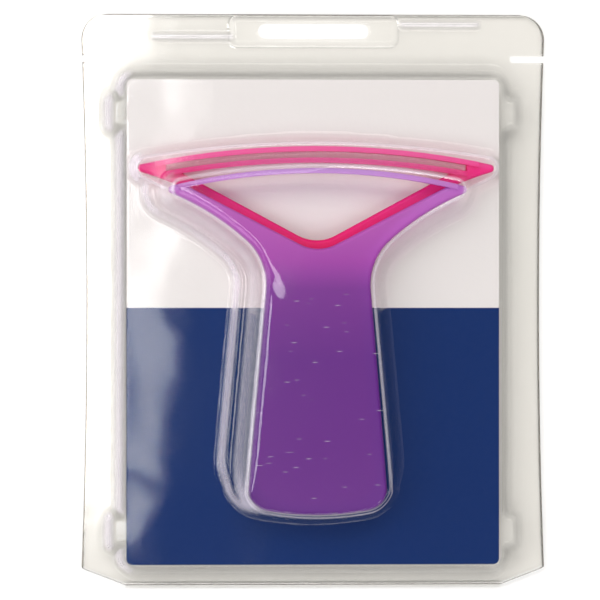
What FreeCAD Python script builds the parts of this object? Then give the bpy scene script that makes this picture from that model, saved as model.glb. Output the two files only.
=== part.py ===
"""Two tongue scrapers nested in a clear hinged pack, lying on its back.

Millimetres, +Z up, +X to the right, +Y from the folded bottom edge to the header. Sketches measure y from
the fold, and every sub-part is then moved so that the origin is at the middle of the pack's underside.
"""
import FreeCAD
import Part
import math
import os
import Sketcher
from collections import namedtuple

DRIVING_SIZES = [
    ("sheet_wall", 0.45, "thickness of the clear formed sheet"),
    ("sheet_gap", 0.05, "gap between the two closed flanges"),
    ("plug_clearance", 0.35, "room between the back half's plug and the front half's bed"),
    ("card_width", 66.0, "insert card, across"),
    ("card_height", 85.6, "insert card, up"),
    ("card_thickness", 0.4, "insert card"),
    ("card_corner", 1.0, "corner radius of the card"),
    ("card_play", 0.6, "room round the card in its bed"),
    ("card_shift", 0.35, "how far the card has slid to the left in its bed"),
    ("card_headroom", 0.2, "room over the card"),
    ("card_seat_gap", 0.05, "gap under the card"),
    ("bed_height", 4.05, "rise of the bed over the flange"),
    ("bed_spread", 1.3, "how far the bed's wall leans out at its foot"),
    ("bed_corner", 2.4, "corner radius of the bed"),
    ("bed_round", 0.9, "rounding of the bed's shoulder"),
    ("lug_length", 7.6, "snap lug on the bed's side, along the side at its foot"),
    ("lug_reach", 2.0, "snap lug, out from the side"),
    ("lug_slant", 1.1, "lean of the lug's ends"),
    ("lug_corner_gap", 0.3, "a lug's end from the bed's rounded corner"),
    ("fold_margin", 3.7, "card's lower edge from the fold"),
    ("fold_length", 66.4, "length of the fold"),
    ("fold_clearance", 0.03, "gap between the fold's bead and the flanges"),
    ("side_flange", 5.7, "flange outside the bed's foot, at the sides"),
    ("header_height", 9.25, "flange above the bed's foot"),
    ("flange_bow", 0.9, "how far the flange's sides bow in"),
    ("flange_corner", 4.5, "radius of the header's corners"),
    ("foot_chamfer_rise", 3.0, "height of the chamfers beside the fold"),
    ("notch_left", 3.4, "depth of the tear notch in the left edge"),
    ("notch_right", 6.0, "depth of the tear notch in the right edge"),
    ("notch_height", 1.2, "tear notch, up"),
    ("notch_drop", 7.9, "middle of the tear notches from the pack's top"),
    ("slot_length", 19.6, "hang slot, across"),
    ("slot_height", 2.6, "hang slot, up"),
    ("slot_drop", 3.0, "middle of the hang slot from the pack's top"),
    ("panel_length", 29.5, "raised panel round the hang slot, across"),
    ("panel_height", 5.0, "raised panel, up"),
    ("panel_chamfer", 1.5, "cut corners of the raised panel"),
    ("bead_length", 58.0, "stiffening bead across the header"),
    ("bead_height", 2.5, "stiffening bead, up"),
    ("header_rise", 0.7, "rise of the panel and the bead"),
    ("scraper_thickness", 2.4, "thickness of a scraper's sheet"),
    ("scraper_arch", 2.0, "rise of the arch that both scrapers' sheets follow"),
    ("scraper_edge", 0.6, "rounding of a scraper's edges"),
    ("rest_gap", 0.1, "gap between the card and the lower scraper"),
    ("nest_gap", 0.3, "gap between the two nested scrapers"),
    ("tip_round", 0.7, "radius of the head's tips"),
    ("blade_width", 0.9, "width of a blade, seen from the front"),
    ("blade_rise", 1.1, "rise of a blade over the sheet's end"),
    ("blade_lift", 0.5, "blade's lower edge above the sheet's end"),
    ("handle_end", 13.9, "corners of the single scraper's handle end from the fold"),
    ("handle_length", 38.3, "handle from its end corners to the neck"),
    ("handle_end_width", 25.0, "handle at its end"),
    ("handle_end_sag", 1.4, "bow of the handle's end"),
    ("handle_corner", 4.0, "corner radius of the handle's end"),
    ("neck_width", 18.5, "handle at the neck"),
    ("neck_bend", 10.5, "radius where the neck opens into the arms"),
    ("arm_bend", 46.0, "radius of the arms' outer edges"),
    ("single_head_width", 55.8, "single blade head between its tips, before they are rounded"),
    ("single_tip_height", 17.75, "single head's tips above the neck"),
    ("single_blade_sag", 3.65, "rise of the single blade over its tips"),
    ("single_window_width", 48.0, "single head's window where its sides meet the blade's outer line"),
    ("single_window_floor", 7.2, "single window's lowest point above the neck"),
    ("window_bend", 7.0, "radius at the window's lowest point"),
    ("double_head_width", 67.6, "double blade head between its tips, before they are rounded"),
    ("double_tip_height", 21.45, "double head's tips above the neck"),
    ("double_blade_sag", 3.85, "rise of the outer blade over its tips"),
    ("double_blade_gap", 1.1, "slot between the two blades"),
    ("double_slot_width", 53.2, "slot between the two blades, across"),
    ("double_blade_run", 2.1, "how far the outer blade runs on into the arms past the slot"),
    ("double_window_width", 55.6, "double head's window where its sides meet the outer blade's outer line"),
    ("double_window_floor", 8.7, "double window's lowest point above the neck"),
    ("nest_inset", 1.9, "how far the double scraper's handle lies inside the single one's"),
    ("pocket_clearance", 0.7, "room between the scrapers and the pocket's side"),
    ("roof_clearance", 0.5, "room between the scrapers and the pocket's roof"),
    ("pocket_spread", 3.2, "how far the tool pocket's wall leans out at its foot"),
    ("pocket_end_spread", 0.7, "how far its end wall by the fold leans out"),
    ("head_spread", 1.2, "how far the head pocket's wall leans out at its foot"),
    ("pocket_round", 0.9, "rounding of the pocket's shoulders"),
    ("tip_room", 1.3, "half height of the pocket's blunt ends at the tips"),
]

SHOULDER_STEPS = 3
NOSE_ROUNDNESS = 1.05
# A sharp tip loses about this many times its rounding's radius
TIP_LOSS = 3

Corner = namedtuple("Corner", "x y radius outward smooth free centre")


def corner(x, y, radius=None, outward=True, smooth=False, free=False, centre=None):
    """A corner of an outline run anticlockwise, with the radius of the edge that leaves it, if an arc."""
    return Corner(as_size(x), as_size(y), radius, outward, smooth, free, centre)


class Size:
    """A length together with the expression that works it out from the sheet."""

    def __init__(self, value, text):
        self.value = value
        self.text = text

    def __add__(self, other):
        other = as_size(other)
        return Size(self.value + other.value, f"({self.text} + {other.text})")

    __radd__ = __add__

    def __sub__(self, other):
        other = as_size(other)
        return Size(self.value - other.value, f"({self.text} - {other.text})")

    def __rsub__(self, other):
        return as_size(other) - self

    def __mul__(self, other):
        other = as_size(other)
        return Size(self.value * other.value, f"({self.text} * {other.text})")

    __rmul__ = __mul__

    def __truediv__(self, other):
        other = as_size(other)
        return Size(self.value / other.value, f"({self.text} / {other.text})")

    def __neg__(self):
        return as_size(0) - self

    def root(self):
        return Size(math.sqrt(self.value), f"sqrt({self.text})")


def as_size(number):
    if isinstance(number, Size):
        return number
    return Size(float(number), f"({float(number)})")


def write_sheet(document):
    """Puts the driving sizes into the sheet and returns each of them by its name."""
    sheet = document.addObject("Spreadsheet::Sheet", "Sizes")
    named = {}
    for row, (alias, value, meaning) in enumerate(DRIVING_SIZES, start=1):
        sheet.set(f"A{row}", meaning)
        sheet.set(f"B{row}", str(value))
        sheet.setAlias(f"B{row}", alias)
        named[alias] = Size(value, f"Sizes.{alias}")
    document.recompute()
    return named


doc = FreeCAD.newDocument("ScraperPack")
size = write_sheet(doc)


def bow_radius(chord, sag):
    """Radius of the arc that rises by sag over a chord."""
    return (chord * chord / 4 + sag * sag) / (2 * sag)


def arc_height(radius, sag, x):
    """Height over its chord of an arc that rises by sag in the middle, at x from the middle."""
    return (radius * radius - x * x).root() - radius + sag


# Levels and lines that several pieces share
wall = size["sheet_wall"]
front_flange = wall + size["sheet_gap"]
front_flange_top = front_flange + wall
fold_radius = wall + size["sheet_gap"] / 2
bed_top = front_flange_top + size["bed_height"]
bed_roof = bed_top - wall
card_top = bed_roof - size["card_headroom"]
card_floor = card_top - size["card_thickness"]
plug_top = card_floor - size["card_seat_gap"]
lower_floor = card_top + size["rest_gap"]
upper_floor = lower_floor + size["scraper_thickness"] + size["nest_gap"]
pocket_roof = upper_floor + size["scraper_arch"] + size["scraper_thickness"] + size["roof_clearance"]
pocket_top = pocket_roof + wall
card_low = size["fold_margin"]
card_high = card_low + size["card_height"]
bed_margin = size["card_play"] + wall + size["bed_spread"]
flange_low = fold_radius + size["fold_clearance"]
flange_high = card_high + bed_margin + size["header_height"]
half_width = size["card_width"] / 2 + bed_margin + size["side_flange"]
slot_middle = flange_high - size["slot_drop"]
neck_line = size["handle_end"] + size["handle_length"]
pack_middle = (flange_high - fold_radius) / 2

# The arch that both scrapers' sheets follow, so that they nest with an even gap
double_top = neck_line + size["double_tip_height"] + size["double_blade_sag"]
arch_low = size["handle_end"] - size["handle_end_sag"] - size["scraper_thickness"]
arch_high = double_top + size["scraper_thickness"]
arch_radius = bow_radius(arch_high - arch_low, size["scraper_arch"])


def arch_rise(line):
    """How far the arch has risen over its ends at a line across the scrapers."""
    return arc_height(arch_radius, size["scraper_arch"], line - (arch_low + arch_high) / 2)


blade_height = size["scraper_thickness"] + size["blade_rise"]
head_roof = lower_floor + arch_rise(double_top) + blade_height + size["roof_clearance"]
head_top = head_roof + wall


def new_body(label):
    body = doc.addObject("PartDesign::Body", label)
    body.setExpression("Placement.Base.y", (-pack_middle).text)
    return body


def arc_between(start, end, radius, outward):
    """The arc from start to end that bulges to the right of the way, or else to the left."""
    if not outward:
        start, end = end, start
    chord = end - start
    left = FreeCAD.Vector(-chord.y, chord.x, 0).normalize()
    half = chord.Length / 2
    centre = (start + end) * 0.5 + left * math.sqrt(max(radius * radius - half * half, 0))
    first = math.atan2(start.y - centre.y, start.x - centre.x)
    last = math.atan2(end.y - centre.y, end.x - centre.x)
    if last < first:
        last += 2 * math.pi
    return Part.ArcOfCircle(Part.Circle(centre, FreeCAD.Vector(0, 0, 1), radius), first, last)


def draw(sketch, corners):
    """Adds a closed outline to the sketch, with every corner and radius bound to the sheet."""
    points = [FreeCAD.Vector(c.x.value, c.y.value, 0) for c in corners]
    edges = []
    for index, spot in enumerate(corners):
        start = points[index]
        end = points[(index + 1) % len(points)]
        if spot.radius is None:
            edges.append(sketch.addGeometry(Part.LineSegment(start, end), False))
        else:
            edges.append(sketch.addGeometry(arc_between(start, end, spot.radius.value, spot.outward), False))

    def pick_end(index, wanted):
        edge = sketch.Geometry[edges[index]]
        return 1 if (edge.StartPoint - wanted).Length < (edge.EndPoint - wanted).Length else 2

    def bind(kind, reference, amount):
        number = sketch.addConstraint(Sketcher.Constraint(kind, *reference, amount.value))
        sketch.setExpression(f"Constraints[{number}]", amount.text)

    for index, spot in enumerate(corners):
        before = (edges[index - 1], pick_end(index - 1, points[index]))
        after = (edges[index], pick_end(index, points[index]))
        kind = "Tangent" if spot.smooth else "Coincident"
        sketch.addConstraint(Sketcher.Constraint(kind, *before, *after))
        if not spot.free:
            bind("DistanceX", after, spot.x)
            bind("DistanceY", after, spot.y)
        if spot.radius is not None:
            bind("Radius", (edges[index],), spot.radius)
        if spot.centre is not None:
            bind("DistanceX", (edges[index], 3), as_size(spot.centre[0]))
            bind("DistanceY", (edges[index], 3), as_size(spot.centre[1]))


def new_sketch(body, name, outlines, level=None, plane="XY_Plane"):
    """A sketch of closed outlines on one of the body's own planes, raised to a level."""
    sketch = body.newObject("Sketcher::SketchObject", name)
    support = [f for f in body.Origin.OriginFeatures if f.Role == plane][0]
    sketch.AttachmentSupport = [(support, "")]
    sketch.MapMode = "FlatFace"
    if level is not None:
        sketch.setExpression("AttachmentOffset.Base.z", as_size(level).text)
    for outline in outlines:
        draw(sketch, outline)
    doc.recompute()
    return sketch


def pad(body, name, outlines, level, height):
    feature = body.newObject("PartDesign::Pad", name)
    feature.Profile = new_sketch(body, name + "_outline", outlines, level)
    feature.setExpression("Length", height.text)
    doc.recompute()
    return feature


def cut_through(body, name, outlines):
    """Cuts the outlines right through the body, both ways from the ground plane."""
    volume = body.Shape.Volume
    feature = body.newObject("PartDesign::Pocket", name)
    feature.Profile = new_sketch(body, name + "_outline", outlines)
    feature.Type = "ThroughAll"
    feature.SideType = "Symmetric"
    doc.recompute()
    if not body.Shape.Volume < volume:
        raise RuntimeError(name + " cut nothing")
    return feature


def form(body, name, outline_at, low, high, shoulder=None, kind="PartDesign::AdditiveLoft"):
    """A form with leaning walls, from its outline at the low level to the high one, with a rounded shoulder.

    outline_at gives the outline at a level, drawn in by an inset. The shoulder turns in a few flat steps.
    """
    sections = [(low, as_size(0))]
    if shoulder is None:
        sections.append((high, as_size(0)))
    else:
        for step in range(SHOULDER_STEPS + 1):
            turn = math.pi / 2 * step / SHOULDER_STEPS
            sections.append((high - shoulder * (1 - math.sin(turn)), shoulder * (1 - math.cos(turn))))
    sketches = [new_sketch(body, f"{name}_section", [outline_at(level, inset)], level)
                for level, inset in sections]
    feature = body.newObject(kind, name)
    feature.Profile = sketches[0]
    feature.Sections = sketches[1:]
    feature.Ruled = True
    doc.recompute()
    return feature


def hollow(body, name, outline_at, low, high, shoulder=None):
    volume = body.Shape.Volume
    feature = form(body, name, outline_at, low, high, shoulder, "PartDesign::SubtractiveLoft")
    if not body.Shape.Volume < volume:
        raise RuntimeError(name + " cut nothing")
    return feature


def round_edges(body, name, wanted, radius):
    """Rounds each edge of the body that the test wanted picks, by a radius of the sheet."""
    base = body.Tip
    names = [f"Edge{i}" for i, edge in enumerate(base.Shape.Edges, start=1) if wanted(edge)]
    if not names:
        raise RuntimeError(name + " found no edge")
    feature = body.newObject("PartDesign::Fillet", name)
    feature.Base = (base, names)
    feature.setExpression("Radius", radius.text)
    doc.recompute()
    return feature


def upright_at(spots):
    """A test for edges that stand over one of the spots, given as x and y."""
    def wanted(edge):
        box = edge.BoundBox
        if box.ZLength < 0.5 or max(box.XLength, box.YLength) > 0.01:
            return False
        return any(math.hypot(box.XMin - x, box.YMin - y) < 0.05 for x, y in spots)
    return wanted


def mirrored(half, closing=None, closing_outward=True):
    """A whole outline from its right half, run upwards, and the radius of the edge that closes it below."""
    below = corner(0, 0, closing, closing_outward)
    leaving = [below] + half[:-1]
    left = [spot._replace(x=-spot.x, radius=edge.radius, outward=edge.outward, centre=None)
            for spot, edge in zip(half, leaving)]
    return half + left[::-1]


def rounded_rectangle(width, low, high, radius):
    half = width / 2
    return mirrored([
        corner(half - radius, low, radius),
        corner(half, low + radius),
        corner(half, high - radius, radius),
        corner(half - radius, high),
    ])


def racetrack(length, height, middle):
    """A bar with round ends, across the pack."""
    half = length / 2
    radius = height / 2
    return mirrored([
        corner(half - radius, middle - radius, radius),
        corner(half, middle, radius),
        corner(half - radius, middle + radius),
    ])


# Insert card

def build_card():
    body = new_body("insert_card")
    outline = rounded_rectangle(size["card_width"], card_low, card_high, size["card_corner"])
    pad(body, "card_sheet", [outline], card_floor, size["card_thickness"])
    body.setExpression("Placement.Base.x", (-size["card_shift"]).text)
    return body


# Scrapers: an arched sheet cut to a Y, with one or two blades across its arms

def handover(neck, direction, tip, near, far):
    """Where the neck's arc goes over into the arm's arc: both lie right of the way up and are tangent."""
    right = FreeCAD.Vector(direction.y, -direction.x, 0)
    first = neck + right * near
    line = first - tip
    reach = line.Length
    along = (far ** 2 - (far - near) ** 2 + reach ** 2) / (2 * reach)
    across = math.sqrt(far ** 2 - along ** 2)
    unit = line * (1 / reach)
    second = tip + unit * along + FreeCAD.Vector(-unit.y, unit.x, 0) * across
    return second + (first - second) * (far / (far - near))


def tangent_point(spot, centre, radius):
    """Where the line from a spot at the upper right meets the lower right of a circle."""
    line = spot - centre
    turn = math.atan2(line.y, line.x) - math.acos(radius / line.Length)
    return centre + FreeCAD.Vector(math.cos(turn), math.sin(turn), 0) * radius


def flank(end_half, end_line, neck_half, tip_half, tip_line, grow):
    """Right side of a scraper, or of its pocket grown round it, from the handle's end to the head's tip."""
    near = size["neck_bend"] - grow
    far = size["arm_bend"] - grow
    neck = FreeCAD.Vector(neck_half.value, neck_line.value, 0)
    direction = (neck - FreeCAD.Vector(end_half.value, end_line.value, 0)).normalize()
    tip = FreeCAD.Vector(tip_half.value, tip_line.value, 0)
    meeting = handover(neck, direction, tip, near.value, far.value)
    return [
        corner(end_half, end_line),
        corner(neck_half, neck_line, near, outward=False, smooth=True),
        corner(meeting.x, meeting.y, far, outward=False, smooth=True, free=True),
    ]


class Scraper:
    """The lines of one scraper that its own solid and the pocket round it share."""

    def __init__(self, kind, inset, floor):
        self.kind = kind
        self.floor = floor
        self.end_half = size["handle_end_width"] / 2 - inset
        self.end_line = size["handle_end"] + inset
        self.neck_half = size["neck_width"] / 2 - inset
        self.tip_half = size[kind + "_head_width"] / 2
        self.tip_line = neck_line + size[kind + "_tip_height"]
        self.sag = size[kind + "_blade_sag"]
        self.blade_radius = bow_radius(self.tip_half * 2, self.sag)
        self.window_half = size[kind + "_window_width"] / 2
        self.window_floor = neck_line + size[kind + "_window_floor"]

    def blade_line(self, x, depth):
        """Height at x of the line that lies a depth inside the outermost blade's edge."""
        return self.tip_line + arc_height(self.blade_radius - depth, self.sag - depth, x)

    def outline(self):
        """The Y of the sheet, whose arms end on the outermost blade's line."""
        half = flank(self.end_half, self.end_line, self.neck_half, self.tip_half, self.tip_line, as_size(0))
        half.append(corner(self.tip_half, self.tip_line, self.blade_radius))
        upper = corner(self.window_half, self.blade_line(self.window_half, as_size(0)))
        middle = self.window_floor + size["window_bend"]
        touch = tangent_point(
            FreeCAD.Vector(upper.x.value, upper.y.value, 0),
            FreeCAD.Vector(0, middle.value, 0),
            size["window_bend"].value,
        )
        half.append(upper)
        half.append(corner(touch.x, touch.y, size["window_bend"], outward=False, smooth=True, free=True,
                           centre=(0, middle)))
        end_radius = bow_radius(self.end_half * 2, size["handle_end_sag"])
        return mirrored(half, end_radius)

    def band(self, outer, inner, half):
        """The strip between two lines at depths inside the outermost blade's edge, out to half each way."""
        return mirrored(
            [
                corner(half, self.blade_line(half, inner)),
                corner(half, self.blade_line(half, outer), self.blade_radius - outer),
            ],
            self.blade_radius - inner,
            closing_outward=False,
        )


single = Scraper("single", as_size(0), upper_floor)
double = Scraper("double", size["nest_inset"], lower_floor)


def build_sheet(tool):
    """The arched sheet of a scraper, cut to its outline, with its corners and edges rounded."""
    body = new_body(tool.kind + "_blade_scraper")
    margin = size["scraper_thickness"]
    top = tool.floor + size["scraper_thickness"]
    profile = [
        corner(arch_low, tool.floor, arch_radius, outward=False),
        corner(arch_high, tool.floor),
        corner(arch_high, top, arch_radius),
        corner(arch_low, top),
    ]
    sheet = body.newObject("PartDesign::Pad", "arched_sheet")
    sheet.Profile = new_sketch(body, "arched_sheet_profile", [profile], plane="YZ_Plane")
    sheet.SideType = "Symmetric"
    sheet.setExpression("Length", (tool.tip_half * 2 + margin).text)
    doc.recompute()

    outline = tool.outline()
    reach = tool.tip_half + margin
    around = [
        corner(-reach, arch_low - margin),
        corner(reach, arch_low - margin),
        corner(reach, arch_high + margin),
        corner(-reach, arch_high + margin),
    ]
    cut_through(body, "trim_to_outline", [around, outline])
    end, tip, window = outline[0], outline[3], outline[4]
    round_edges(body, "handle_corners", upright_at(both_sides([end])), size["handle_corner"])
    round_edges(body, "arm_corners", upright_at(both_sides([tip, window])), size["tip_round"])
    round_edges(body, "sheet_edges", lying, size["scraper_edge"])
    return body


def both_sides(corners):
    return [(side * spot.x.value, spot.y.value) for spot in corners for side in (1, -1)]


def lying(edge):
    """True for an edge that doesn't stand upright."""
    return max(edge.BoundBox.XLength, edge.BoundBox.YLength) > 0.01


def add_blade(body, tool, name, depth, half):
    strip = tool.band(depth, depth + size["blade_width"], half)
    foot = tool.floor + arch_rise(tool.tip_line + tool.sag) + size["blade_lift"]
    pad(body, name, [strip], foot, blade_height - size["blade_lift"])


def build_single():
    body = build_sheet(single)
    add_blade(body, single, "blade", as_size(0), single.window_half + size["tip_round"])
    return body


def build_double():
    body = build_sheet(double)
    pitch = size["blade_width"] + size["double_blade_gap"]
    slot_half = size["double_slot_width"] / 2
    slot = double.band(size["blade_width"], pitch, slot_half)
    cut_through(body, "blade_slot", [slot])
    add_blade(body, double, "outer_blade", as_size(0), slot_half + size["double_blade_run"])
    add_blade(body, double, "inner_blade", pitch, slot_half)
    return body


# Clear pack: two formed sheets that meet at their flanges

def flange_outline():
    chord = flange_high - size["flange_corner"] - flange_low - size["foot_chamfer_rise"]
    return mirrored([
        corner(size["fold_length"] / 2, flange_low),
        corner(half_width, flange_low + size["foot_chamfer_rise"], bow_radius(chord, size["flange_bow"]),
               outward=False),
        corner(half_width, flange_high - size["flange_corner"], size["flange_corner"]),
        corner(half_width - size["flange_corner"], flange_high),
    ])


def notches():
    """The tear notches in the two side edges, run out past the edges."""
    low = flange_high - size["notch_drop"] - size["notch_height"] / 2
    high = low + size["notch_height"]
    past = half_width + size["notch_height"]
    left = half_width - size["notch_left"]
    right = half_width - size["notch_right"]
    return [
        [corner(-past, low), corner(-left, low), corner(-left, high), corner(-past, high)],
        [corner(right, low), corner(past, low), corner(past, high), corner(right, high)],
    ]


def hang_slot():
    return racetrack(size["slot_length"], size["slot_height"], slot_middle)


def bed_outline(grow):
    """The bed round the card with its four snap lugs, grown outwards all round."""
    margin = size["card_play"] + grow
    side = size["card_width"] / 2 + margin
    low = card_low - margin
    high = card_high + margin
    radius = size["bed_corner"] + grow
    reach = size["lug_reach"]
    slant = size["lug_slant"]
    lower = wall + size["bed_spread"] - grow
    half_lug = size["lug_length"] / 2 - lower * reach / ((reach * reach + slant * slant).root() + slant)
    place = size["bed_corner"] - size["card_play"] + size["lug_corner_gap"] + size["lug_length"] / 2
    half = [corner(side - radius, low, radius), corner(side, low + radius)]
    for middle in (card_low + place, card_high - place):
        half.append(corner(side, middle - half_lug))
        half.append(corner(side + reach, middle - half_lug + slant))
        half.append(corner(side + reach, middle + half_lug - slant))
        half.append(corner(side, middle + half_lug))
    half.append(corner(side, high - radius, radius))
    half.append(corner(side - radius, high))
    return mirrored(half)


def bed_lean(level):
    """How far the bed's outer face stands out at a level, past where it is at the bed's top."""
    return (bed_top - level) * size["bed_spread"] / size["bed_height"]


def bed_outside(level, inset):
    return bed_outline(wall + bed_lean(level) - inset)


def bed_inside(level, inset):
    return bed_outline(bed_lean(level) - inset)


def plug_outside(level, inset):
    return bed_outline(bed_lean(level) - size["plug_clearance"] - inset)


def plug_inside(level, inset):
    return plug_outside(level, wall + inset)


def nose(tool, grow):
    """Half height of the pocket's rounded end at a head's tip, and where that end's arc starts."""
    half = size["tip_room"] + grow / 2
    return half, tool.tip_half - size["tip_round"] * TIP_LOSS + grow - half


def nose_corners(tool, grow):
    """The rounded end at a tip and the line over the blade, which leaves its upper corner."""
    half, across = nose(tool, grow)
    rise = tool.sag + grow - half
    return [
        corner(across, tool.tip_line - half, half * NOSE_ROUNDNESS),
        corner(across, tool.tip_line + half, bow_radius(across * 2, rise)),
    ]


def tool_pocket_outline(grow, end_grow):
    """The pocket over the single scraper, grown outwards from it."""
    half, across = nose(single, grow)
    radius = size["handle_corner"] + end_grow
    side = single.end_half + grow
    low = single.end_line - size["handle_end_sag"] - end_grow
    right = [corner(side - radius, low, radius)]
    right += flank(side, low + radius, single.neck_half + grow, across, single.tip_line - half, grow)
    right += nose_corners(single, grow)
    return mirrored(right)


def tool_pocket(level, inset):
    lean = (pocket_top - level) / (pocket_top - bed_top)
    grow = size["pocket_clearance"] + wall - inset
    return tool_pocket_outline(grow + size["pocket_spread"] * lean, grow + size["pocket_end_spread"] * lean)


def head_pocket(level, inset):
    """The lower pocket over the double scraper's head. Its lower side ends inside the tool pocket."""
    lean = (head_top - level) / (head_top - bed_top)
    grow = size["pocket_clearance"] + wall - inset + size["head_spread"] * lean
    start = corner(double.neck_half, double.window_floor - grow)
    return mirrored([start] + nose_corners(double, grow))


def tool_hollow(level, inset):
    return tool_pocket(level, wall + inset)


def head_hollow(level, inset):
    return head_pocket(level, wall + inset)


def header_panel(inset):
    half = size["panel_length"] / 2 - inset
    rise = size["panel_height"] / 2 - inset
    cut = size["panel_chamfer"]
    return mirrored([
        corner(half - cut, slot_middle - rise),
        corner(half, slot_middle - rise + cut),
        corner(half, slot_middle + rise - cut),
        corner(half - cut, slot_middle + rise),
    ])


def header_bead(inset):
    return racetrack(size["bead_length"] - inset * 2, size["bead_height"] - inset * 2, slot_middle)


def panel_hollow(level, inset):
    return header_panel(wall + inset)


def bead_hollow(level, inset):
    return header_bead(wall + inset)


def build_front():
    none = as_size(0)
    body = new_body("front_shell")
    pad(body, "front_flange", [flange_outline()], front_flange, wall)
    form(body, "bed", bed_outside, front_flange_top, bed_top, size["bed_round"])
    form(body, "head_pocket", head_pocket, bed_roof, head_top, size["pocket_round"])
    form(body, "tool_pocket", tool_pocket, bed_roof, pocket_top, size["pocket_round"])
    pad(body, "slot_panel", [header_panel(none)], front_flange, wall + size["header_rise"])
    pad(body, "header_bead", [header_bead(none)], front_flange, wall + size["header_rise"])
    hollow(body, "bed_hollow", bed_inside, front_flange, bed_roof, size["bed_round"] - wall)
    inner_round = size["pocket_round"] - wall
    hollow(body, "head_hollow", head_hollow, card_top, head_roof, inner_round)
    hollow(body, "tool_hollow", tool_hollow, card_top, pocket_roof, inner_round)
    hollow(body, "panel_hollow", panel_hollow, front_flange, front_flange + size["header_rise"])
    hollow(body, "bead_hollow", bead_hollow, front_flange, front_flange + size["header_rise"])
    cut_through(body, "openings", notches() + [hang_slot()])
    return body


def build_back():
    body = new_body("back_shell")
    pad(body, "back_flange", [flange_outline()], as_size(0), wall)
    form(body, "plug", plug_outside, as_size(0), plug_top, size["bed_round"] - wall)
    hollow(body, "plug_hollow", plug_inside, as_size(0), plug_top - wall)
    cut_through(body, "openings", notches() + [hang_slot()])
    return body


def build_fold():
    """The round bead that the two flanges fold about."""
    bead = doc.addObject("Part::Cylinder", "living_hinge")
    bead.setExpression("Radius", fold_radius.text)
    bead.setExpression("Height", size["fold_length"].text)
    bead.Placement.Rotation = FreeCAD.Rotation(FreeCAD.Vector(0, 1, 0), 90)
    bead.setExpression("Placement.Base.x", (-size["fold_length"] / 2).text)
    bead.setExpression("Placement.Base.y", (-pack_middle).text)
    bead.setExpression("Placement.Base.z", fold_radius.text)
    doc.recompute()
    return bead


def main():
    pieces = [build_back(), build_fold(), build_card(), build_double(), build_single(), build_front()]
    doc.recompute()
    failed = [item.Name for item in doc.Objects if "Invalid" in item.State or "Error" in item.State]
    if failed:
        raise RuntimeError("failed features: " + ", ".join(failed))
    for piece in pieces:
        if piece.Shape.isNull() or not piece.Shape.isValid() or len(piece.Shape.Solids) != 1:
            raise RuntimeError(piece.Label + " is not one valid solid")
    os.makedirs("parts", exist_ok=True)
    for piece in pieces:
        piece.Shape.exportStep(f"parts/{piece.Label}.step")
        box = piece.Shape.BoundBox
        print(f"{piece.Label}: {box.XLength:.2f} x {box.YLength:.2f} x {box.ZLength:.2f} mm,"
              f" z {box.ZMin:.2f} to {box.ZMax:.2f}, {piece.Shape.Volume:.0f} cubic mm")


main()
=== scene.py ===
# %% [markdown]
# # A pair of tongue scrapers in a clear hinged pack
#
# The pack lies on its back and is seen from straight above. Two halves of a clear formed sheet hold a
# printed card, and two nested plastic scrapers lie on the card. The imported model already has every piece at
# its real size and place, so this lesson is about finishes, soft formed surfaces and light.

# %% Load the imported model
import math

import bpy
import numpy as np
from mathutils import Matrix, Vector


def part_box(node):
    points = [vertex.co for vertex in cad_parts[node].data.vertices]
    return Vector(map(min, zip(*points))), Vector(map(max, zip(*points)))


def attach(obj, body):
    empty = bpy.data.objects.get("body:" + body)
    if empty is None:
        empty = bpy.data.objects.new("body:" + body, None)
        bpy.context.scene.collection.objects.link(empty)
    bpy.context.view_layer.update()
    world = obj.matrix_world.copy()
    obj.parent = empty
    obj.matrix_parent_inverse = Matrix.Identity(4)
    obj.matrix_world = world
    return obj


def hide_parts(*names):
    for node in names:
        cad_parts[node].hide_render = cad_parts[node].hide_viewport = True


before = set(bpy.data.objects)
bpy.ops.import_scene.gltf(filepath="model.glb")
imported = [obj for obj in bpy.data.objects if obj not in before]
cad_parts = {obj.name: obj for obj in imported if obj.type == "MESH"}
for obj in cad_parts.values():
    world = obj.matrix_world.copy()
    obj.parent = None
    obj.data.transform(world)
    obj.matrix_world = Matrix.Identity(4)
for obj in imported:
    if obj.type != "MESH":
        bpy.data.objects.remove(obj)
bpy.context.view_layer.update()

MM = 0.001

# %% [markdown]
# ## Shader sums as Python sums
#
# A finish is a small tree of nodes. Wiring each node by hand hides the formula, so one class wraps an
# output socket: adding or multiplying two of them adds the Math node that does it, and `node` makes any
# other node.

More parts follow.
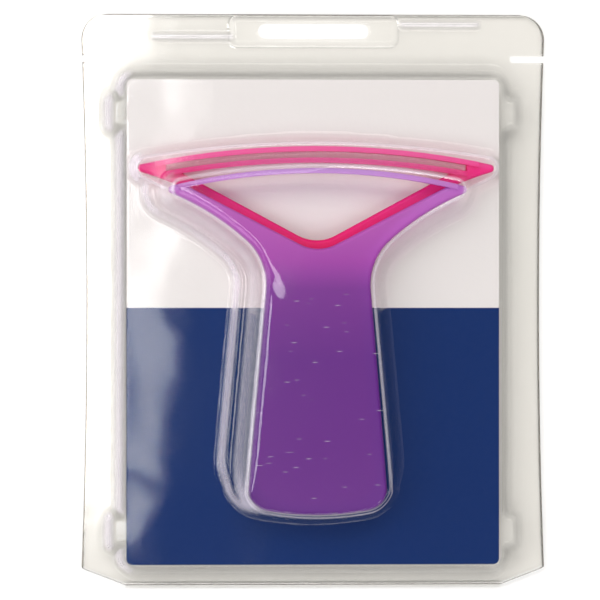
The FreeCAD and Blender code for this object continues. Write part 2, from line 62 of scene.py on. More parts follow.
# %% Shader arithmetic
class Paint:
    """An output socket of a material's tree. Arithmetic on paints and numbers adds Math nodes."""

    def __init__(self, tree, socket=None):
        self.tree = tree
        self.socket = socket

    def node(self, kind, settings=None, inputs=None, output=0):
        """Adds a node: its settings first, then a value or a link for each named or numbered input."""
        made = self.tree.nodes.new(kind)
        for name, value in (settings or {}).items():
            if name == "stops":
                self.set_stops(made.color_ramp.elements, value)
            else:
                setattr(made, name, value)
        for name, value in (inputs or {}).items():
            if isinstance(value, Paint):
                self.tree.links.new(value.socket, made.inputs[name])
            else:
                made.inputs[name].default_value = value
        return Paint(self.tree, made.outputs[output] if made.outputs else None)

    @staticmethod
    def set_stops(elements, stops):
        """Gives a colour ramp its stops, a list of positions and colours."""
        while len(elements) < len(stops):
            elements.new(1.0)
        for element, (position, colour) in zip(elements, stops):
            element.position = position
            element.color = colour

    def sum_node(self, operation, first, second):
        """A Math node of two paints or numbers."""
        return self.node("ShaderNodeMath", {"operation": operation}, {0: first, 1: second})

    def __add__(self, other):
        return self.sum_node("ADD", self, other)

    __radd__ = __add__

    def __sub__(self, other):
        return self.sum_node("SUBTRACT", self, other)

    def __rsub__(self, other):
        return self.sum_node("SUBTRACT", other, self)

    def __mul__(self, other):
        return self.sum_node("MULTIPLY", self, other)

    __rmul__ = __mul__

    def step(self, low, high):
        """0 below low, 1 above high and a smooth rise between them."""
        return self.node(
            "ShaderNodeMapRange",
            {"interpolation_type": "SMOOTHSTEP"},
            {"Value": self, "From Min": low, "From Max": high},
        )


print("sums of paints:", [name for name in ("add", "sub", "mul") if hasattr(Paint, f"__r{name}__")])

# %% [markdown]
# Every finish below starts from the same few steps: an empty tree, the place of the point that is shaded, a
# soft random pattern, and bumps made of such a pattern. A screen colour has to be turned into the light it
# stands for.

# %% First steps of a finish
X, Y, Z = range(3)


def srgb(red, green, blue):
    """A colour as a screen shows it, from 0 to 255, as the linear colour that shaders use."""
    share = np.array([red, green, blue]) / 255
    linear = np.where(share <= 0.04045, share / 12.92, ((share + 0.055) / 1.055) ** 2.4)
    return (*linear.tolist(), 1.0)


def new_finish(name):
    """An empty material, and a paint to start its tree from."""
    material = bpy.data.materials.new(name)
    material.use_nodes = True
    material.node_tree.nodes.clear()
    return material, Paint(material.node_tree)


def show(surface):
    """Sends a shader to the material's output."""
    surface.node("ShaderNodeOutputMaterial", {}, {"Surface": surface})


def mix_colours(factor, first, second):
    """The first colour where the factor is 0, the second where it is 1, and a blend between."""
    return factor.node("ShaderNodeMix", {"data_type": "RGBA"}, {0: factor, 6: first, 7: second}, output=2)


def object_spot(start):
    """The object coordinates of the point that is shaded."""
    return start.node("ShaderNodeTexCoord", output=3)


def along(spot, axis):
    """One coordinate of a spot."""
    return spot.node("ShaderNodeSeparateXYZ", {}, {"Vector": spot}, output=axis)


def noise(spot, scale, detail):
    """A soft random pattern from 0 to 1, with patches about 1 over the scale wide, in metres."""
    return spot.node("ShaderNodeTexNoise", {}, {"Vector": spot, "Scale": scale, "Detail": detail})


def bumps(height, strength, distance):
    """Normals that lean as if the surface rose and fell with a pattern."""
    inputs = {"Strength": strength, "Distance": distance, "Height": height}
    return height.node("ShaderNodeBump", {}, inputs)


def dress(node, material):
    """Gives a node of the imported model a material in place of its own."""
    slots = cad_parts[node].data.materials
    slots.clear()
    slots.append(material)


print("grey 128 of a screen is", round(srgb(128, 128, 128)[0], 3), "of white light")

# %% [markdown]
# ## Printed card
#
# The card is coated board, white above and deep blue below, printed edge to edge. An image could carry the
# print, but one straight edge between two inks needs only the height on the card, so it is worked out from
# the object coordinates. One fine grain gives the board its fleck, its uneven gloss and its tooth.

# %% Printed card
CARD_WHITE = srgb(220, 216, 217)
CARD_BLUE = srgb(0, 39, 98)
CARD_FLECK = srgb(150, 150, 160)
FLECK_SHARE = 0.02
CARD_SPLIT = -1.2 * MM
SPLIT_BLUR = 0.05 * MM
GRAIN_SCALE = 900.0


def printed_card():
    """Blue below the split and white above it, with a little of the fleck where the grain is high."""
    material, start = new_finish("printed_card")
    spot = object_spot(start)
    grain = noise(spot, GRAIN_SCALE, 3.0)
    above = along(spot, Y).step(CARD_SPLIT - SPLIT_BLUR, CARD_SPLIT + SPLIT_BLUR)
    ink = mix_colours(above, CARD_BLUE, CARD_WHITE)
    show(start.node("ShaderNodeBsdfPrincipled", {}, {
        "Base Color": mix_colours(grain * FLECK_SHARE, ink, CARD_FLECK),
        "Roughness": 0.4 + grain * 0.2,
        "Normal": bumps(grain, 0.15, 0.2 * MM),
        "Specular IOR Level": 0.1,
    }))
    return material


dress("insert_card", printed_card())
print(f"card: blue below {CARD_SPLIT / MM:.1f} mm, white above")

# %% [markdown]
# ## Translucent scraper plastic
#
# Both scrapers are moulded in a translucent plastic: the thick handle looks deep, and the thin head is pale
# and lets the card shine through. Scattering light inside the plastic would be slow and noisy, so a ramp of
# colours up the tool paints that glow: the deep handle is the plastic's own colour, and the paler neck and
# head are a painted glow of light passing through. A share of tinted see-through, larger in the head, lets
# the light pass.

# %% Scraper finishes
HANDLE_SOLID = 0.66
HEAD_SOLID = 0.5
NECK_LOW = 4.0 * MM
NECK_HIGH = 16.0 * MM
CLOUD_SCALE = 120.0
SKIN_SCALE = 1500.0
# Colours up each tool: the plastic's own deep colour in the handle, with a painted glow towards the thin
# head.
VIOLET_STOPS = [(-37, (114, 52, 150)), (-10, (110, 45, 147)), (2, (130, 56, 157)), (7, (174, 78, 182)),
                (12, (196, 104, 201)), (19, (208, 128, 214)), (23, (210, 178, 232))]
VIOLET_GLOW = srgb(232, 176, 246)
PINK_STOPS = [(9, (252, 8, 114)), (12, (250, 26, 130)), (16, (244, 46, 144)), (20, (240, 50, 150)),
              (23, (248, 54, 158)), (24.5, (246, 108, 184)), (27, (246, 126, 194))]
PINK_GLOW = srgb(255, 128, 196)


def scraper_plastic(name, stops, glow):
    """A colour ramp up the tool, each stop a height in millimetres and a screen colour; the deep lower stops
    are the plastic's own colour and the paler upper ones a painted glow of light through the thin head. It is
    mixed with a tinted see-through whose share grows from the handle to the head."""
    material, start = new_finish(name)
    spot = object_spot(start)
    y = along(spot, Y)
    low, high = stops[0][0] * MM, stops[-1][0] * MM
    ramp_stops = [((height * MM - low) / (high - low), srgb(*colour)) for height, colour in stops]
    share = start.node("ShaderNodeMapRange", {}, {"Value": y, "From Min": low, "From Max": high})
    body = start.node("ShaderNodeBsdfPrincipled", {}, {
        "Base Color": start.node("ShaderNodeValToRGB", {"stops": ramp_stops}, {"Fac": share}),
        "Roughness": 0.28 + noise(spot, CLOUD_SCALE, 3.0) * 0.12,
        "Normal": bumps(noise(spot, SKIN_SCALE, 2.0), 0.05, 0.2 * MM),
        "Specular IOR Level": 0.3,
    })
    through = start.node("ShaderNodeBsdfTransparent", {}, {"Color": glow})
    solid = HANDLE_SOLID + (HEAD_SOLID - HANDLE_SOLID) * y.step(NECK_LOW, NECK_HIGH)
    show(start.node("ShaderNodeMixShader", {}, {0: solid, 1: through, 2: body}))
    return material


dress("single_blade_scraper", scraper_plastic("violet_plastic", VIOLET_STOPS, VIOLET_GLOW))
dress("double_blade_scraper", scraper_plastic("pink_plastic", PINK_STOPS, PINK_GLOW))
print("scrapers:", len(VIOLET_STOPS), "violet stops and", len(PINK_STOPS), "pink ones")

# %% [markdown]
# ## Clear formed sheet
#
# The pack is formed from thin clear sheet. Its faces reflect a little light head-on and a lot at a grazing
# angle, and let the rest straight through. Real refraction in so thin a wall only adds noise, so the finish
# mixes a see-through shader with a mirror. Some places are painted paler: steep walls that face the key light
# get a painted milky sheen, a painted glint runs along the crowns, and the beads get a painted highlight. The
# cut rim is a warm grey line, and the roof has a few small scuffs. Walls, rim and outlines come as values on
# the points of the front half. The other pieces have none of these values and stay clear.

# %% Lines and scuffs of the sheet
def own_value(start, name):
    """A value that the piece carries at its points; it is 0 on a piece without it."""
    return start.node("ShaderNodeAttribute", {"attribute_name": name}, output=2)


def line_along(depth, middle, half):
    """A soft line along an outline: 1 at a depth, and 0 from half its width away."""
    return depth.step(middle - half, middle) * (1.0 - depth.step(middle, middle + half))


def scuffs(spot, stretch, share):
    """Short marks: the middles of those stretched cells whose random number is above 1 minus a share."""
    longer = spot.node("ShaderNodeVectorMath", {"operation": "MULTIPLY"}, {0: spot, 1: stretch})
    cell = {"Vector": longer, "Scale": 1.0}
    distance = spot.node("ShaderNodeTexVoronoi", {}, cell)
    colour = spot.node("ShaderNodeTexVoronoi", {}, cell, output=1)
    lot = spot.node("ShaderNodeSeparateColor", {}, {"Color": colour}, output=1)
    return (1.0 - distance.step(0.12, 0.36)) * lot.step(1.0 - share, 1.02 - share)


SCUFF_STRETCH = (420.0, 2600.0, 420.0)
print("scuffs: cells of", [round(1000 / stretch, 2) for stretch in SCUFF_STRETCH], "mm")

# %% Clear sheet finish
HEAD_ON_SHINE = 0.02
GRAZING_POWER = 5.0
SHEET_TINT = (0.992, 0.988, 0.98, 1.0)
PALE = srgb(226, 226, 226)
# White of the painted sheen on walls facing the key light, of the painted crown glints and of the painted
# bead highlights.
PAINTED_SHEEN_WHITE = srgb(246, 238, 250)
WARM_RIM = srgb(112, 103, 92)
RIPPLE_SCALE = 45.0
SCUFF_SHARE = 0.06
# TOOL_LINE and HEAD_LINE place the painted glints along the pocket crowns; PANEL_LINE places the grey line
# round the panel.
TOOL_LINE, HEAD_LINE, PANEL_LINE = (-0.45, 0.4), (-0.6, 0.4), (-0.35, 0.3)
CROWN_PAINTED_GLINT, PANEL_GREY, RIM_SOLID, SCUFF_SOLID = 0.3, 0.2, 0.5, 0.15
ROOF_LOW, ROOF_HIGH = 11.0 * MM, 12.0 * MM
HANDLE_TOP, NECK_MIDDLE = 0.0 * MM, 6.0 * MM
TIPS_LOW, TIPS_HIGH = 19.0 * MM, 20.5 * MM


def clear_sheet(name, lit_wall_sheen, sheen_colour):
    """A mix of see-through and mirror. The mirror's share is its shine, which climbs by a power from
    head-on to a grazing angle, plus a share for the painted sheen on walls that face the key light, the
    painted glints on crowns, rims and scuffs, where the mirror turns from metal into pale plastic."""
    material, start = new_finish(name)
    spot = object_spot(start)
    y, z = along(spot, Y), along(spot, Z)
    bent = bumps(noise(spot, RIPPLE_SCALE, 2.0), 0.04, 4.0 * MM)
    away = start.node("ShaderNodeLayerWeight", {}, {"Blend": 0.5, "Normal": bent}, output=1)
    grazing = start.node("ShaderNodeMath", {"operation": "POWER"}, {0: away, 1: GRAZING_POWER})
    shine = HEAD_ON_SHINE + (1 - HEAD_ON_SHINE) * grazing

    # Painted light: walls that face the key light are made paler, a painted sheen.
    lit_wall = own_value(start, "lit_wall")
    panel_line = line_along(own_value(start, "panel_depth"), *PANEL_LINE)
    rim = own_value(start, "rim") + panel_line * PANEL_GREY
    # Painted glint: pale lines along the crowns of the two pockets stand in for their highlights.
    tool_line = line_along(own_value(start, "tool_depth"), *TOOL_LINE)
    head_line = line_along(own_value(start, "head_depth"), *HEAD_LINE)
    painted_crown_glint = tool_line + head_line * y.step(TIPS_LOW, TIPS_HIGH)
    pale = lit_wall + painted_crown_glint * (1.0 - lit_wall)
    on_roof = z.step(ROOF_LOW, ROOF_HIGH) * (1.0 - y.step(HANDLE_TOP, NECK_MIDDLE))
    marks = scuffs(spot, SCUFF_STRETCH, SCUFF_SHARE) * on_roof

    # Painted sheen on walls facing the key light, plus the painted crown glint.
    painted_sheen = lit_wall * lit_wall_sheen + painted_crown_glint * CROWN_PAINTED_GLINT
    solid = shine + painted_sheen + rim * RIM_SOLID + marks * SCUFF_SOLID
    through = start.node("ShaderNodeBsdfTransparent", {}, {"Color": SHEET_TINT})
    mirror = start.node("ShaderNodeBsdfPrincipled", {}, {
        "Base Color": mix_colours(rim, mix_colours(pale, PALE, sheen_colour), WARM_RIM),
        "Metallic": 1.0 - pale * 0.85 - marks,
        "Roughness": 0.07 + pale * 0.1,
        "Normal": bent,
    })
    show(start.node("ShaderNodeMixShader", {}, {0: solid, 1: through, 2: mirror}))
    return material


back_sheet = clear_sheet("clear_back_sheet", 0.0, PALE)
for node in ("back_shell", "living_hinge"):
    dress(node, back_sheet)
print("clear sheet:", len(back_sheet.node_tree.nodes), "nodes")

# %% [markdown]
# ## The front half as a height field
#
# The front half is one flat sheet drawn over a mould, so each spot of it has a single height. It could be
# cut and bevelled from blocks, but its soft bends come easier from distances: the mould's outlines are
# drawn in the plane, the distance from a spot to each outline is measured, and a wall with a round foot and
# a round crown turns the distance into height. Lengths in these cells are millimetres.

# %% Arcs
def arc(start, end, radius, outward=True, count=16):
    """Points on a circle from start to end. An outward arc bows to the right of the way that it goes."""
    start, end = np.array(start, float), np.array(end, float)
    chord = end - start
    length = np.hypot(*chord)
    left = np.array([-chord[1], chord[0]]) / length
    rise = math.sqrt(max(radius ** 2 - length ** 2 / 4, 0.0))
    centre = (start + end) / 2 + left * (rise if outward else -rise)
    first, last = (math.atan2(*(spot - centre)[::-1]) for spot in (start, end))
    turn = (last - first + math.pi) % (2 * math.pi) - math.pi
    angles = first + turn * np.linspace(0, 1, count)
    return centre + radius * np.stack([np.cos(angles), np.sin(angles)], axis=1)


def both_halves(right):
    """A closed outline from its right half, listed from the bottom up, and the mirror image of it."""
    right = np.concatenate([np.atleast_2d(run) for run in right])
    return np.concatenate([right, right[::-1] * (-1, 1)])


def bow(half, rise):
    """Radius of an arc over a chord: half the chord squared plus the rise squared, over twice the rise."""
    return (half ** 2 + rise ** 2) / (2 * rise)


def where_arcs_meet(neck, way, tip, near, far):
    """Where an arc of radius near that leaves the neck goes over smoothly into one of radius far that ends
    at the tip: on the line through both centres, which lie far minus near apart."""
    first = neck + np.array([way[1], -way[0]]) * near
    line = first - tip
    reach = np.hypot(*line)
    share = (far ** 2 - (far - near) ** 2 + reach ** 2) / (2 * reach)
    unit = line / reach
    second = tip + unit * share + np.array([-unit[1], unit[0]]) * math.sqrt(far ** 2 - share ** 2)
    return second + (first - second) * far / (far - near)


print("an arc 20 wide and 2 high has a radius of", bow(10, 2))

# %% [markdown]
# Two outlines are enough: one round the handle and arms of the upper scraper, and a wider one round the
# head of the lower scraper. Each is drawn as its right half and mirrored.

# %% Outlines of the mould
HANDLE_END = -37.7
END_HALF, END_BOW = 8.9, 0.8
END_CORNER = np.array([END_HALF, HANDLE_END + END_BOW])
HEEL = np.array([12.5, HANDLE_END + 4.0])
NECK = np.array([9.25, 1.99])
ARM_TIP = np.array([24.5, 18.44])
HEAD_TIP = np.array([30.4, 22.14])
HEAD_FOOT = (7.35, 10.7)
NECK_RADIUS, ARM_RADIUS, TIP_RADIUS, HEEL_RADIUS = 10.5, 46.0, 1.37, 4.2
BLADE_LIFT = np.array([0, 2.6])
ARM_BOW, HEAD_BOW = 2.35, 2.55

way_up = (NECK - HEEL) / np.hypot(*(NECK - HEEL))
shoulder = where_arcs_meet(NECK, way_up, ARM_TIP, NECK_RADIUS, ARM_RADIUS)
arm_top, head_top = ARM_TIP + BLADE_LIFT, HEAD_TIP + BLADE_LIFT
tool_outline = both_halves([
    arc((0.0, HANDLE_END), END_CORNER, bow(END_HALF, END_BOW), count=8),
    arc(END_CORNER, HEEL, HEEL_RADIUS)[1:],
    arc(NECK, shoulder, NECK_RADIUS, outward=False),
    arc(shoulder, ARM_TIP, ARM_RADIUS, outward=False)[1:],
    arc(ARM_TIP, arm_top, TIP_RADIUS)[1:],
    arc(arm_top, arm_top * (-1, 1), bow(ARM_TIP[X], ARM_BOW), count=41)[1:21],
])
head_outline = both_halves([
    HEAD_FOOT,
    arc(HEAD_TIP, head_top, TIP_RADIUS),
    arc(head_top, head_top * (-1, 1), bow(HEAD_TIP[X], HEAD_BOW), count=41)[1:21],
])
print("outline points:", len(tool_outline), "round the tools,", len(head_outline), "round the head")

# %% [markdown]
# A spot's depth is its distance to the nearest edge of an outline, positive inside. A wall maps the depth
# to a climb from 0 to 1, and smooth bends at both ends stand for the sheet's own stiffness.

# %% Heights from distances
def depth_inside(spots, outline):
    """How far each spot lies inside a closed outline; outside it the depth is negative. A spot is inside
    when a line from it to the right crosses the outline an odd number of times."""
    edge = np.roll(outline, -1, axis=0) - outline
    gap = spots[:, None, :] - outline
    share = np.clip((gap * edge).sum(2) / np.maximum((edge ** 2).sum(1), 1e-12), 0, 1)
    near = ((gap - share[..., None] * edge) ** 2).sum(2).min(1)
    slant = np.where(np.abs(edge[:, 1]) < 1e-9, 1e-9, edge[:, 1])
    spans = (gap[..., 1] < 0) != (gap[..., 1] - edge[:, 1] < 0)
    crossed = spans & (gap[..., 0] < gap[..., 1] * edge[:, 0] / slant)
    return np.where(crossed.sum(1) % 2 == 1, 1, -1) * np.sqrt(near)


def box_depth(spots, middle, half, radius):
    """Depth inside a rectangle with round corners, given by its middle and half its sides."""
    over = np.abs(spots - middle) - (np.array(half) - radius)
    outside = np.hypot(*np.maximum(over, 0).T)
    return radius - outside - np.minimum(over.max(1), 0)


def soft_floor(value, blend):
    """The larger of the value and 0, with a smooth bend as wide as the blend each side of 0."""
    share = np.clip(0.5 + 0.5 * value / blend, 0, 1)
    return value * share + blend * share * (1 - share)


def wall(depth, width, foot, crown):
    """Climbs from 0 to 1 over a width, from the outline inwards, with a round foot and a round crown."""
    climb = soft_floor(depth / width, foot / width)
    return 1 - soft_floor(1 - climb, crown / width)


def ease(value, low, high):
    """0 below low, 1 above high and a smooth rise between them."""
    share = np.clip((value - low) / (high - low), 0, 1)
    return share * share * (3 - 2 * share)


print("a wall 1 mm wide climbs", wall(np.array([0.0, 0.25, 0.5, 0.75, 1.0]), 1.0, 0.3, 0.3).round(2))

# %% [markdown]
# The grid is finer where walls run and coarser on flat parts. Beside the handle its columns lean with the
# handle's taper, so that the long walls run along them and stay smooth. Its outer columns are squeezed to
# the flange's own outline: bowed sides, round upper corners, and lower corners cut off beside the fold.

# %% Grid over the flange
FLANGE_LOW, FLANGE_HIGH, FLANGE_HALF = -50.2, 50.69, 41.05
FLANGE_CORNER = 4.5
FOLD_HALF, FOLD_CUT = 33.2, 3.0
SIDE_BOW, BOW_MIDDLE, BOW_HALF = 0.9, -0.7, 46.8
SQUEEZED = 30
TAPER, TAPER_MIDDLE = 0.091, -15.85


def graded(*runs):
    """Grid lines from runs of start, end and spacing."""
    lines = [np.linspace(start, end, round((end - start) / gap) + 1)[:-1] for start, end, gap in runs]
    return np.append(np.concatenate(lines), runs[-1][1])


def flange_half(y):
    """Half the flange's width at a height: a parabola for the bowed side, a circle for the upper corner and
    a straight cut for the lower one."""
    side = FLANGE_HALF - SIDE_BOW * (1 - ((y - BOW_MIDDLE) / BOW_HALF) ** 2).clip(0)
    top = np.maximum(y - (FLANGE_HIGH - FLANGE_CORNER), 0)
    round_top = FLANGE_CORNER - np.sqrt(FLANGE_CORNER ** 2 - np.minimum(top, FLANGE_CORNER) ** 2)
    cut_foot = (FLANGE_HALF - FOLD_HALF) * np.maximum(FLANGE_LOW + FOLD_CUT - y, 0) / FOLD_CUT
    return side - round_top - cut_foot


half_lines = graded((0, 8, 0.8), (8, 18, 0.3), (18, 31, 0.42), (31, 38, 0.3), (38, 40.6, 0.5),
                    (40.6, FLANGE_HALF, 0.15))
columns = np.concatenate([-half_lines[:0:-1], half_lines])
rows = graded((FLANGE_LOW, -46, 0.35), (-46, -41, 0.4), (-41, -32, 0.35), (-32, 0, 0.9), (0, 29, 0.35),
              (29, 38, 0.7), (38, 42.19, 0.35), (42.19, 43.39, 0.4), (43.39, 46.39, 0.4),
              (46.39, 48.99, 0.37), (48.99, FLANGE_HIGH, 0.3))
across, up = np.meshgrid(columns, rows)
taper = TAPER * (TAPER_MIDDLE - np.clip(up, HEEL[1], 2.0)) * (1 - ease(up, 20, 35))
beside_handle = ease(np.abs(across), 0, 8) * (1 - ease(np.abs(across), 17, SQUEEZED))
across = across + np.sign(across) * taper * beside_handle
squeeze = (flange_half(up) - SQUEEZED) / (FLANGE_HALF - SQUEEZED)
squeezed = np.sign(across) * (SQUEEZED + (np.abs(across) - SQUEEZED) * squeeze)
across = np.where(np.abs(across) > SQUEEZED, squeezed, across)
spots = np.stack([across.ravel(), up.ravel()], axis=1)
print("grid:", across.shape, "spots")

# %% [markdown]
# The bed is a low box round the card. Four snap lugs, two on each side, stick out of its walls.

# %% Bed of the card
BED_CLIMB, BED_WALL = 4.05, 1.3
BED_HALF, BED_MARGIN, BED_CORNER = 34.05, 1.05, 2.9
LUG_HALF, LUG_INSET, LUG_CORNER = (36.05, 2.7), 5.9, 0.8

card_low, card_high = (edge[1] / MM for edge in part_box("insert_card"))
bed_half = (BED_HALF, (card_high - card_low) / 2 + BED_MARGIN)
bed_depth = box_depth(spots, (0, (card_low + card_high) / 2), bed_half, BED_CORNER)
for lug_middle in (card_low + LUG_INSET, card_high - LUG_INSET):
    lug_depth = box_depth(spots, (0, lug_middle), LUG_HALF, LUG_CORNER)
    bed_depth = np.maximum(bed_depth, lug_depth)
bed = BED_CLIMB * wall(bed_depth + BED_WALL, BED_WALL, 0.5, 0.75)
print(f"bed round a card from {card_low:.1f} to {card_high:.1f} mm")

# %% [markdown]
# The pocket over the tools climbs in two tiers, the lower one a little to the left of the upper one.
# Towards the handle's end its walls grow steep and the ledge between the tiers runs out. Its left crown is
# the rounder one. A second, lower pocket covers the wide head.

# %% Pocket over the tools
UPPER_CLIMB, LOWER_CLIMB, HEAD_CLIMB = 4.3, 3.2, 4.2
LOWER_WALL, HEAD_WALL = 0.9, 0.8
HEAD_MARGIN = 0.9
POCKET_SHIFT = 1.1

end_share = ease(spots[:, 1], -38.5, -27.0)
tool_margin = 0.5 + 0.65 * end_share
upper_width = 0.65 + 0.95 * end_share
ledge = 1.6 * end_share
crown = 0.6 + end_share * (0.5 + 1.1 * ease(-spots[:, 0], -3, 3))
tool_depth = depth_inside(spots, tool_outline)
upper = wall(tool_depth + tool_margin + upper_width, upper_width, 0.35, crown)
shifted_depth = depth_inside(spots + (POCKET_SHIFT, 0), tool_outline)
lower = wall(shifted_depth + tool_margin + upper_width + ledge, LOWER_WALL, 0.3, 0.35)
tool = UPPER_CLIMB * upper + LOWER_CLIMB * lower
head_depth = depth_inside(spots, head_outline)
head = HEAD_CLIMB * wall(head_depth + HEAD_MARGIN + HEAD_WALL, HEAD_WALL, 0.4, 0.5)
print(f"pocket climbs {tool.max():.2f} mm over the tools and {head.max():.2f} mm over the head")

# %% [markdown]
# A lozenge and two short beads stiffen the header. The roof of the pocket sways by a few hundredths of a
# millimetre, as formed sheet does, and has a shallow dent at the left shoulder, which catches the light.

# %% Header, dent and sum
FLANGE_TOP = 0.95
SLOT_MIDDLE = (0.0, 47.69)
PANEL_HALF, PANEL_CORNER, PANEL_CLIMB = (14.75, 2.5), 1.2, 0.7
BEAD_HALF, BEAD_CORNER, BEAD_CLIMB = (7.5, 0.9), 0.89, 0.6
LEFT_BEAD, RIGHT_BEAD = (-21.5, 46.7), (22.5, 48.9)
DENT_MIDDLE, DENT_DEPTH = (-9.0, 3.7), 0.17
SWAY = 0.05

panel_depth = box_depth(spots, SLOT_MIDDLE, PANEL_HALF, PANEL_CORNER)
panel = wall(panel_depth, 0.5, 0.2, 0.2)
left_bead = wall(box_depth(spots, LEFT_BEAD, BEAD_HALF, BEAD_CORNER), 0.5, 0.2, 0.2)
right_bead = wall(box_depth(spots, RIGHT_BEAD, BEAD_HALF, BEAD_CORNER), 0.5, 0.2, 0.2)
bead = np.maximum(left_bead, right_bead)
from_dent = spots - DENT_MIDDLE
leaning = from_dent[:, 0] + 0.45 * from_dent[:, 1]
dent = DENT_DEPTH * np.exp(-(leaning / 1.2) ** 2 - (from_dent[:, 1] / 2.3) ** 2)
slow_wave = np.sin(spots[:, 0] / 5.3 + spots[:, 1] / 9.1)
sway = SWAY * slow_wave * np.sin(spots[:, 1] / 6.7 - spots[:, 0] / 11.0)

header = np.maximum(PANEL_CLIMB * panel, BEAD_CLIMB * bead)
height = FLANGE_TOP + bed + np.maximum(tool, head) + header
height = height + sway * ease(height, 4.0, 5.0) - dent
print(f"front half climbs to {height.max():.2f} mm")

# %% [markdown]
# The finish asks for values at the points: how near the rim is, how much painted sheen a wall gets, and the
# depths. A wall gets a painted milky sheen where it is steep and climbs to the right, because it then faces
# the key light on the left. The beads get a painted highlight too.

# %% Values for the finish
# Painted highlight on the header's beads, carried with the lit-wall values.
BEAD_PAINTED_HIGHLIGHT = 0.6

to_sides = flange_half(up) - np.abs(across)
to_rim = np.minimum.reduce([to_sides, FLANGE_HIGH - up, up - FLANGE_LOW]).ravel()
climb_up, climb_across = np.gradient(height.reshape(across.shape))
climb_across = climb_across / np.gradient(across, axis=1)
climb_up = climb_up / np.gradient(up, axis=0)
flatness = 1 / np.sqrt(1 + climb_across ** 2 + climb_up ** 2)
# Painted sheen on steep walls that climb to the right and so face the key light on the left.
lit_wall = ease(1 - flatness, 0.2, 0.75) * ease(climb_across * flatness, 0.1, 0.7)
own_values = {
    "rim": 1 - ease(to_rim, 0.1, 0.45),
    "lit_wall": np.maximum(lit_wall.ravel(), BEAD_PAINTED_HIGHLIGHT * bead),
    "tool_depth": tool_depth,
    "head_depth": head_depth,
    "panel_depth": panel_depth,
}
print("milky points:", int((own_values["lit_wall"] > 0.5).sum()), "of", len(spots))

# %% [markdown]
# The hang slot and the two tear notches go through the sheet. Grid points close to the slot's edge are
# moved onto it, and the sheet is made of the faces outside the openings. A Solidify modifier then gives it
# its thickness.

# %% Openings
SLOT_HALF, SLOT_RADIUS, SLOT_SNAP = 8.5, 1.3, 0.2
NOTCH_MIDDLE, NOTCH_HALF = 42.79, 0.6
NOTCH_LEFT, NOTCH_RIGHT = -37.65, 35.05


def from_slot(spots):
    """The way to each spot from the nearest point of the slot's middle line."""
    nearest = np.clip(spots[:, 0], -SLOT_HALF, SLOT_HALF)
    return spots - np.column_stack([nearest, np.full(len(spots), SLOT_MIDDLE[1])])


def in_opening(middles):
    """Whether a spot lies within the slot's radius of its middle line, or in one of the notches."""
    slot = SLOT_RADIUS - np.hypot(*from_slot(middles).T)
    beside = (middles[:, 0] < NOTCH_LEFT) | (middles[:, 0] > NOTCH_RIGHT)
    notch = (np.abs(middles[:, 1] - NOTCH_MIDDLE) < NOTCH_HALF) & beside
    return (slot > 0) | notch


way = from_slot(spots)
reach = np.hypot(*way.T)
close = np.abs(reach - SLOT_RADIUS) < SLOT_SNAP
spots[close] += way[close] * ((SLOT_RADIUS - reach[close]) / reach[close])[:, None]
print("points moved onto the slot's edge:", int(close.sum()))

# %% Front half
SHEET_THICKNESS = 0.45
# Share of painted sheen on walls that face the key light.
LIT_WALL_SHEEN = 0.32


def sheet_object(name, spots, height, own_values, shape, gone, thickness):
    """A smooth grid of quads over the spots, but for those that are gone, thickened towards the inside."""
    tall, wide = shape
    number = np.arange(tall * wide).reshape(shape)
    corners = [number[:-1, :-1], number[:-1, 1:], number[1:, 1:], number[1:, :-1]]
    faces = np.stack(corners, axis=-1).reshape(-1, 4)
    faces = faces[~gone(spots[faces].mean(axis=1))]
    used, faces = np.unique(faces, return_inverse=True)
    faces = faces.reshape(-1, 4)
    points = np.column_stack([spots, height])[used] * MM
    mesh = bpy.data.meshes.new(name)
    mesh.from_pydata(points.tolist(), [], faces.tolist())
    mesh.polygons.foreach_set("use_smooth", np.ones(len(faces), bool))
    for value_name, values in own_values.items():
        layer = mesh.attributes.new(value_name, "FLOAT", "POINT")
        layer.data.foreach_set("value", values[used])
    thing = bpy.data.objects.new(name, mesh)
    bpy.context.scene.collection.objects.link(thing)
    shell = thing.modifiers.new("thickness", "SOLIDIFY")
    shell.thickness = thickness * MM
    shell.offset = -1.0
    print(f"{name}: {len(faces)} quads before it is thickened")
    return thing


front = sheet_object("front_sheet", spots, height, own_values, across.shape, in_opening, SHEET_THICKNESS)
front.data.materials.append(clear_sheet("clear_front_sheet", LIT_WALL_SHEEN, PAINTED_SHEEN_WHITE))
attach(front, "lid")
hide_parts("front_shell")

# %% [markdown]
# ## Table
#
# The pack lies on a white table. A plane just below it would do in one colour, but real paper is a little
# uneven, so a faint cloud runs through its white and its roughness.

# %% Table
TABLE_HALF = 3.0
TABLE_DROP = -0.05 * MM
TABLE_LIGHT = (0.93, 0.925, 0.915, 1)
TABLE_DARK = (0.9, 0.895, 0.885, 1)

floor_mesh = bpy.data.meshes.new("table")
corners = np.array([(-1, -1, 0), (1, -1, 0), (1, 1, 0), (-1, 1, 0)]) * TABLE_HALF + (0, 0, TABLE_DROP)
floor_mesh.from_pydata(corners.tolist(), [], [(0, 1, 2, 3)])
floor = bpy.data.objects.new("table", floor_mesh)
bpy.context.scene.collection.objects.link(floor)
floor_finish, start = new_finish("white_table")
cloud = noise(object_spot(start), 6.0, 3.0)
show(start.node("ShaderNodeBsdfPrincipled", {}, {
    "Base Color": mix_colours(cloud, TABLE_LIGHT, TABLE_DARK),
    "Roughness": 0.85 + cloud * 0.1,
}))
floor_mesh.materials.append(floor_finish)
print(f"table {2 * TABLE_HALF:.0f} m wide, its top at {TABLE_DROP / MM:.2f} mm")

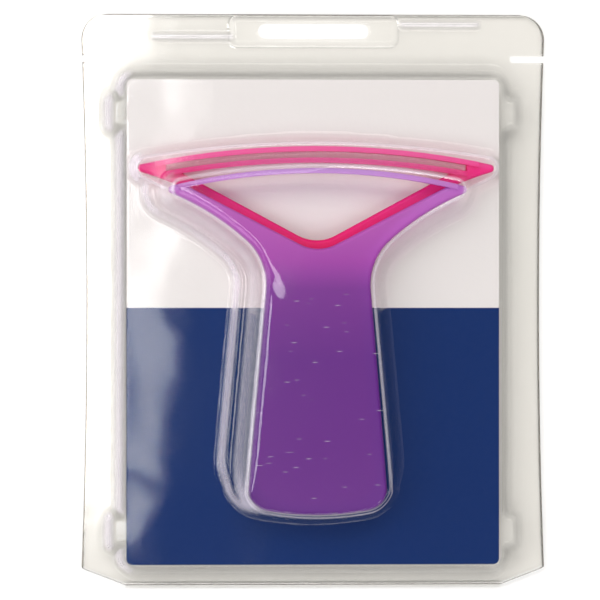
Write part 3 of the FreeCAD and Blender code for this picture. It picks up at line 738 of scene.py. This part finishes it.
# %% [markdown]
# ## Light
#
# The picture is bright: a big soft key light low on the left, softer ones over the head and the foot, and
# nothing bright where the flat roof would mirror it into the camera, so that the sheet over the blue card
# stays dark. A small panel near that mirror direction puts a pale glare on the left of the card. The sky is
# bright low down, where the steep walls mirror it, and dark overhead.

# %% Lights
def soft_light(name, place, width, height, power):
    """A rectangular lamp that faces the pack's middle."""
    lamp = bpy.data.lights.new(name, "AREA")
    lamp.shape = "RECTANGLE"
    lamp.size = width
    lamp.size_y = height
    lamp.energy = power
    thing = bpy.data.objects.new(name, lamp)
    thing.location = place
    direction = -thing.location
    thing.rotation_euler = direction.to_track_quat("-Z", "Y").to_euler()
    bpy.context.scene.collection.objects.link(thing)
    return thing


lamps = [
    soft_light("key_left", (-0.85, 0.2, 0.55), 1.2, 1.3, 8.7),
    soft_light("fill_right", (0.5, 0.0, 0.85), 0.3, 0.7, 0.4),
    soft_light("fill_head", (0.0, 0.5, 0.85), 0.9, 0.4, 4.2),
    soft_light("fill_foot", (0.0, -0.45, 0.88), 0.9, 0.4, 3.6),
]
glare = soft_light("glare_panel", (-0.075, 0.015, 0.85), 0.2, 0.15, 0.9)
glare.rotation_euler = (0.0, 0.0, 0.0)
print("lamps:", [lamp.name for lamp in (*lamps, glare)])

# %% Sky
SKY_LOW, SKY_LOSS = 0.62, 0.58

world = bpy.data.worlds.new("studio")
world.use_nodes = True
world.node_tree.nodes.clear()
sky = Paint(world.node_tree)
sky_height = along(sky.node("ShaderNodeTexCoord"), Z)
glow = sky.node("ShaderNodeBackground", {}, {
    "Color": (1.0, 0.99, 0.98, 1.0),
    "Strength": SKY_LOW - SKY_LOSS * sky_height.step(0.3, 0.9),
})
sky.node("ShaderNodeOutputWorld", {}, {"Surface": glow})
bpy.context.scene.world = world
bpy.context.scene.view_settings.view_transform = "Standard"
print(f"sky strength {SKY_LOW:.2f} low down and {SKY_LOW - SKY_LOSS:.2f} overhead")

# %% [markdown]
# ## Camera
#
# The photograph hardly shows any perspective, so the lens is long and far away. The camera leans a few
# degrees to the left, which is why the left walls of the pocket show more than the right ones. Its place
# follows from the scale of the picture and from where the pack's middle lies in it.

# %% Camera
PHOTO_PIXELS = 600
MM_PER_PIXEL = 0.177
PACK_MIDDLE_PIXEL = (313.0, 301.0)
LENS = 500.0
LEFT_LEAN = math.radians(5.0)

eye = bpy.data.cameras.new("eye")
eye.lens = LENS
camera = bpy.data.objects.new("eye", eye)
camera_reach = LENS / eye.sensor_width * PHOTO_PIXELS * MM_PER_PIXEL * MM
aim_x = (PHOTO_PIXELS / 2 - PACK_MIDDLE_PIXEL[0]) * MM_PER_PIXEL * MM
aim_y = (PACK_MIDDLE_PIXEL[1] - PHOTO_PIXELS / 2) * MM_PER_PIXEL * MM
camera.location = (aim_x - camera_reach * math.sin(LEFT_LEAN), aim_y, camera_reach * math.cos(LEFT_LEAN))
camera.rotation_euler = (0.0, -LEFT_LEAN, 0.0)
bpy.context.scene.collection.objects.link(camera)
bpy.context.scene.camera = camera
print(f"camera {camera_reach:.3f} m away, leaning {math.degrees(LEFT_LEAN):.1f} degrees from the left")
